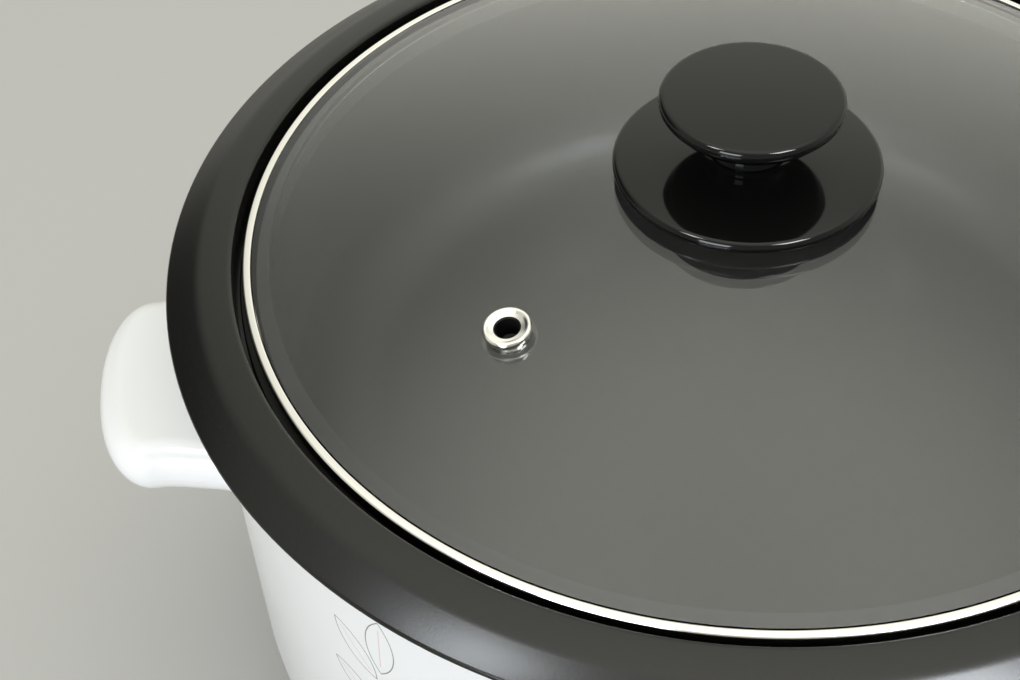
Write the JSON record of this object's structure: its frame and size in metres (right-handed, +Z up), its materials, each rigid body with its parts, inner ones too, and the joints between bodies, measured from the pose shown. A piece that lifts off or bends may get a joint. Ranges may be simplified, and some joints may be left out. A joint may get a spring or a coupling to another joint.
{
  "type": "electric hot pot",
  "caption": "Round table-top electric hot pot with a loose domed glass lid, a lift-out non-stick pot, lug handles and a temperature knob.",
  "frame": {"origin": "on the floor, on the pot's axis, in the middle of the four feet", "axes": "+Z up along the pot's axis; the front with the control panel faces -Y; the handles are on +X and -X"},
  "size_m": [0.3472, 0.3142, 0.185],
  "materials": {
    "shell_white": "gloss",
    "collar_charcoal": "satin, fine fleck",
    "black_plastic": "gloss",
    "base_plastic": "matte",
    "rubber": "matte",
    "liner_steel": "bright galvanised",
    "polished_steel": "polished",
    "screw_steel": "zinc plated",
    "cast_aluminium": "as cast",
    "heater_sheath": "matte",
    "nonstick": "black non-stick coating, satin",
    "glass": "clear, polished",
    "seal_black": "satin",
    "gasket_clear": "translucent",
    "ceramic": "matte",
    "phenolic": "satin",
    "brass": "satin",
    "lens_red": "translucent red",
    "lens_amber": "translucent amber",
    "lamp_glass": "clear",
    "wire_brown": "satin",
    "wire_blue": "satin",
    "wire_earth": "satin"
  },
  "bodies": {
    "housing": {"outer_shell": "shell_white", "top_collar": "collar_charcoal", "handle_left": "shell_white", "handle_right": "shell_white", "handle_screws": "screw_steel", "collar_screws": "screw_steel", "base_cover": "base_plastic", "base_screws": "screw_steel", "tie_screws": "screw_steel", "foot_front_left": "rubber", "foot_front_right": "rubber", "foot_rear_left": "rubber", "foot_rear_right": "rubber", "inner_liner": "liner_steel", "heating_plate": "cast_aluminium", "heater_tube": "heater_sheath", "plate_posts": "screw_steel", "sensor_spring": "screw_steel", "sensor_guide": "ceramic", "guide_screws": "screw_steel", "thermal_fuse": "ceramic", "fuse_clip": "screw_steel", "control_panel": "shell_white", "control_bracket": "liner_steel", "panel_screws": "screw_steel", "thermostat": "phenolic", "thermostat_nut": "brass", "lamp_lens_power": "lens_red", "lamp_lens_heat": "lens_amber", "pilot_lamps": "lamp_glass", "inlet_housing": "base_plastic", "inlet_pins": "polished_steel", "earth_contact": "brass", "inlet_bracket": "liner_steel", "inlet_screws": "screw_steel", "live_wires": "wire_brown", "neutral_wires": "wire_blue", "earth_wire": "wire_earth"},
    "pot": {"inner_pot": "nonstick"},
    "lid": {"lid_glass": "glass", "lid_rim": "polished_steel", "lid_seal": "seal_black", "knob_grip": "black_plastic", "knob_saucer": "black_plastic", "knob_screw": "polished_steel", "knob_washers": "seal_black", "vent_eyelet": "polished_steel", "vent_gasket": "gasket_clear"},
    "dial": {"temperature_knob": "black_plastic", "knob_shaft": "brass"},
    "sensor": {"sensor_cap": "cast_aluminium", "sensor_stem": "screw_steel", "sensor_clip": "screw_steel"}
  },
  "joints": [
    {"name": "pot_lift", "type": "slide", "parent": "housing", "child": "pot", "axis": [0, 0, 1], "range_m": [0, 0.12]},
    {"name": "lid_lift", "type": "slide", "parent": "pot", "child": "lid", "axis": [0, 0, 1], "range_m": [0, 0.12]},
    {"name": "dial_turn", "type": "hinge", "parent": "housing", "child": "dial", "pos_m": [0, -0.15, 0.038], "axis": [0, 1, 0], "range_deg": [0, 270]},
    {"name": "sensor_rise", "type": "slide", "parent": "housing", "child": "sensor", "axis": [0, 0, 1], "range_m": [0, 0.004], "deforming": ["sensor_spring"]}
  ],
  "couplings": [
    {"joint": "sensor_rise", "follows": "pot_lift", "ratio": 0.033333}
  ]
}
